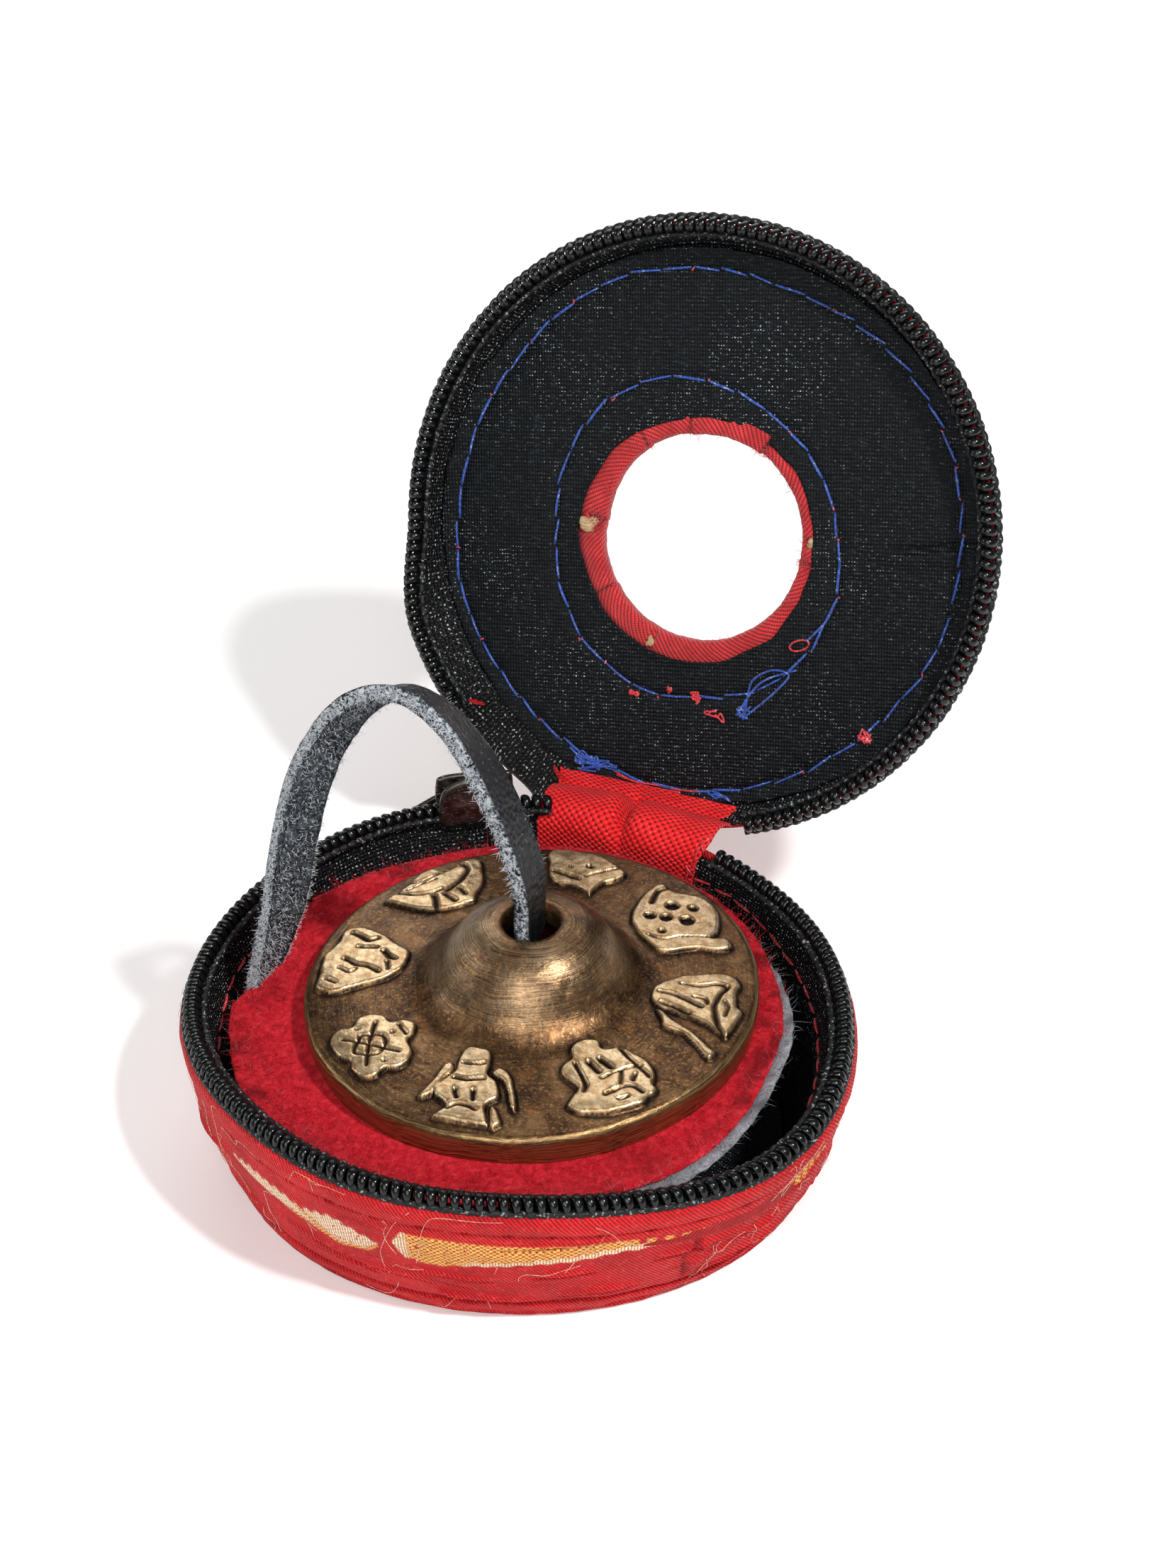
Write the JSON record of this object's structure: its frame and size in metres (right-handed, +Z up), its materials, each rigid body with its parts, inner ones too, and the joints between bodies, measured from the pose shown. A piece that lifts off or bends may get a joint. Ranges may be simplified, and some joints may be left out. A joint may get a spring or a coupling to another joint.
{
  "type": "hand cymbals in a zipped case",
  "caption": "Small thick hand cymbals with raised motifs on a leather strap, lying on felt in a round red brocade zip case with a standing ring-shaped lid.",
  "frame": {"origin": "centre of the case's underside, on the surface it stands on", "axes": "+Z up; +Y towards the ribbon hinge of the lid; +X to the right seen from the front"},
  "size_m": [0.0989, 0.1418, 0.1108],
  "materials": {
    "brocade_red": "woven red brocade twill",
    "lining_black": "black plain weave with a faint sheen",
    "tape_black": "coarse knitted black zip tape",
    "coil_black": "glossy black moulded coil",
    "board_tan": "tan fibre board",
    "thread_red": "red sewing thread",
    "thread_blue": "blue sewing thread",
    "twill_red": "red cotton twill, raw edge",
    "ribbon_red": "red plain-weave ribbon",
    "gunmetal": "worn dark gunmetal plating",
    "felt_red": "red wool felt",
    "felt_grey": "grey wool felt",
    "bronze": "aged cast bronze, polished on the high spots",
    "leather_black": "black grain leather, grey suede flesh side"
  },
  "bodies": {
    "base": {"base_floor_cover": "brocade_red", "base_floor_stiffener": "board_tan", "base_floor_lining": "lining_black", "base_side_wall": "brocade_red", "base_wall_lining": "lining_black", "base_zip_tape": "tape_black", "base_zip_coil": "coil_black", "base_tape_stitching": "thread_red", "hinge_ribbon": "ribbon_red"},
    "lid": {"lid_cover": "brocade_red", "lid_stiffener": "board_tan", "lid_lining": "lining_black", "lid_hole_binding": "twill_red", "lid_zip_tape": "tape_black", "lid_zip_coil": "coil_black", "lid_outer_stitching": "thread_blue", "lid_inner_stitching": "thread_blue"},
    "slider": {"zip_slider": "gunmetal"},
    "pull": {"zip_pull": "gunmetal"},
    "lower_cymbal": {"lower_cymbal": "bronze", "lower_strap_knot": "leather_black", "strap_tail": "leather_black"},
    "felts": {"felt_grey": "felt_grey", "felt_red": "felt_red"},
    "upper_cymbal": {"upper_cymbal": "bronze", "upper_strap_knot": "leather_black", "strap_loop": "leather_black"}
  },
  "joints": [
    {"name": "lid_hinge", "type": "hinge", "parent": "base", "child": "lid", "pos_m": [-0.00159, 0.04777, 0.0233], "axis": [-0.9995, -0.0332, 0], "range_deg": [-112, 60], "deforming": ["hinge_ribbon", "strap_loop"]},
    {"name": "slider_run", "type": "hinge", "parent": "base", "child": "slider", "pos_m": [0, 0, 0.0266], "axis": [0, 0, -1], "range_deg": [-295, 0]},
    {"name": "pull_swing", "type": "hinge", "parent": "slider", "child": "pull", "pos_m": [-0.02739, 0.04219, 0.0266], "axis": [0, 0, -1], "range_deg": [0, 90]},
    {"name": "lower_cymbal_lift", "type": "slide", "parent": "base", "child": "lower_cymbal", "axis": [-0.0279, -0.0436, 0.9987], "range_m": [0, 0.026]},
    {"name": "felt_lift", "type": "slide", "parent": "lower_cymbal", "child": "felts", "axis": [-0.0279, -0.0436, 0.9987], "range_m": [0, 0.015]},
    {"name": "upper_cymbal_lift", "type": "slide", "parent": "felts", "child": "upper_cymbal", "axis": [-0.0279, -0.0436, 0.9987], "range_m": [0, 0.018], "deforming": ["strap_loop"]}
  ]
}
